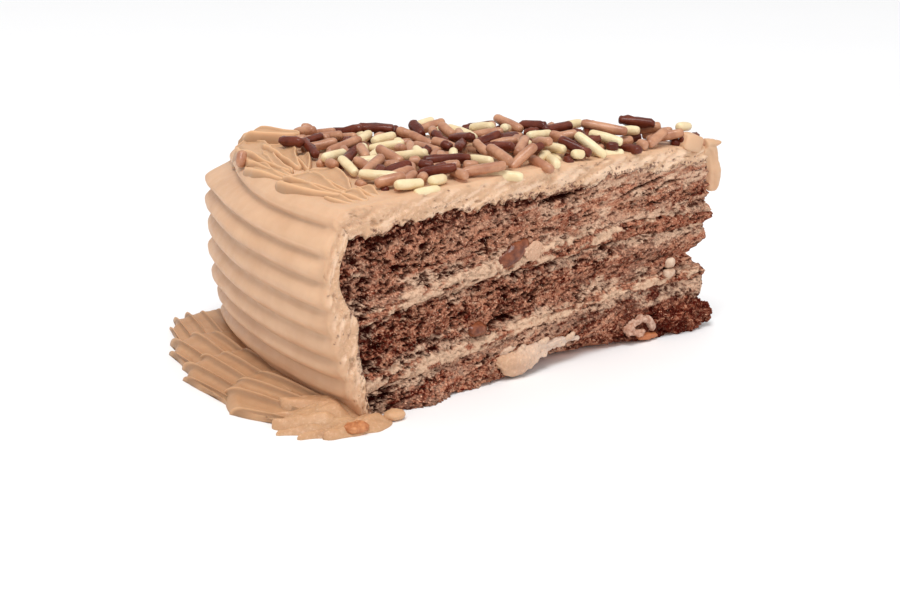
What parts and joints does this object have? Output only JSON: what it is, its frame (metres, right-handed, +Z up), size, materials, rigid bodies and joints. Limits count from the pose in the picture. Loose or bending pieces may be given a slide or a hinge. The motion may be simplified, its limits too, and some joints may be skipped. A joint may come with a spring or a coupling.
{
  "type": "slice of chocolate cake",
  "caption": "Wedge slice of layered chocolate cake with a combed buttercream wall, piped shell borders and chocolate sprinkles on top.",
  "frame": {"origin": "centre of the base's middle line, 75 mm from the slice's tip, on the plane it rests on", "axes": "+X from the outer wall to the tip along the slice's middle, +Z up, the cut with the raised foot faces -Y"},
  "size_m": [0.1419, 0.1079, 0.0565],
  "materials": {
    "sponge": "matte crumb",
    "filling": "matte",
    "icing": "satin",
    "caramel": "glossy",
    "nut": "satin"
  },
  "bodies": {
    "root": {"sponge_bottom": "sponge", "filling_lower": "filling", "sponge_middle": "sponge", "filling_upper": "filling", "sponge_top": "sponge", "icing": "icing", "border_top": "icing", "border_foot": "icing", "caramel_upper": "caramel", "caramel_lower": "caramel", "nut_tip_upper": "nut", "nut_tip_lower": "nut", "nut_base": "nut", "nut_toasted": "nut", "icing_smear": "icing", "icing_dab": "icing"}
  },
  "joints": []
}
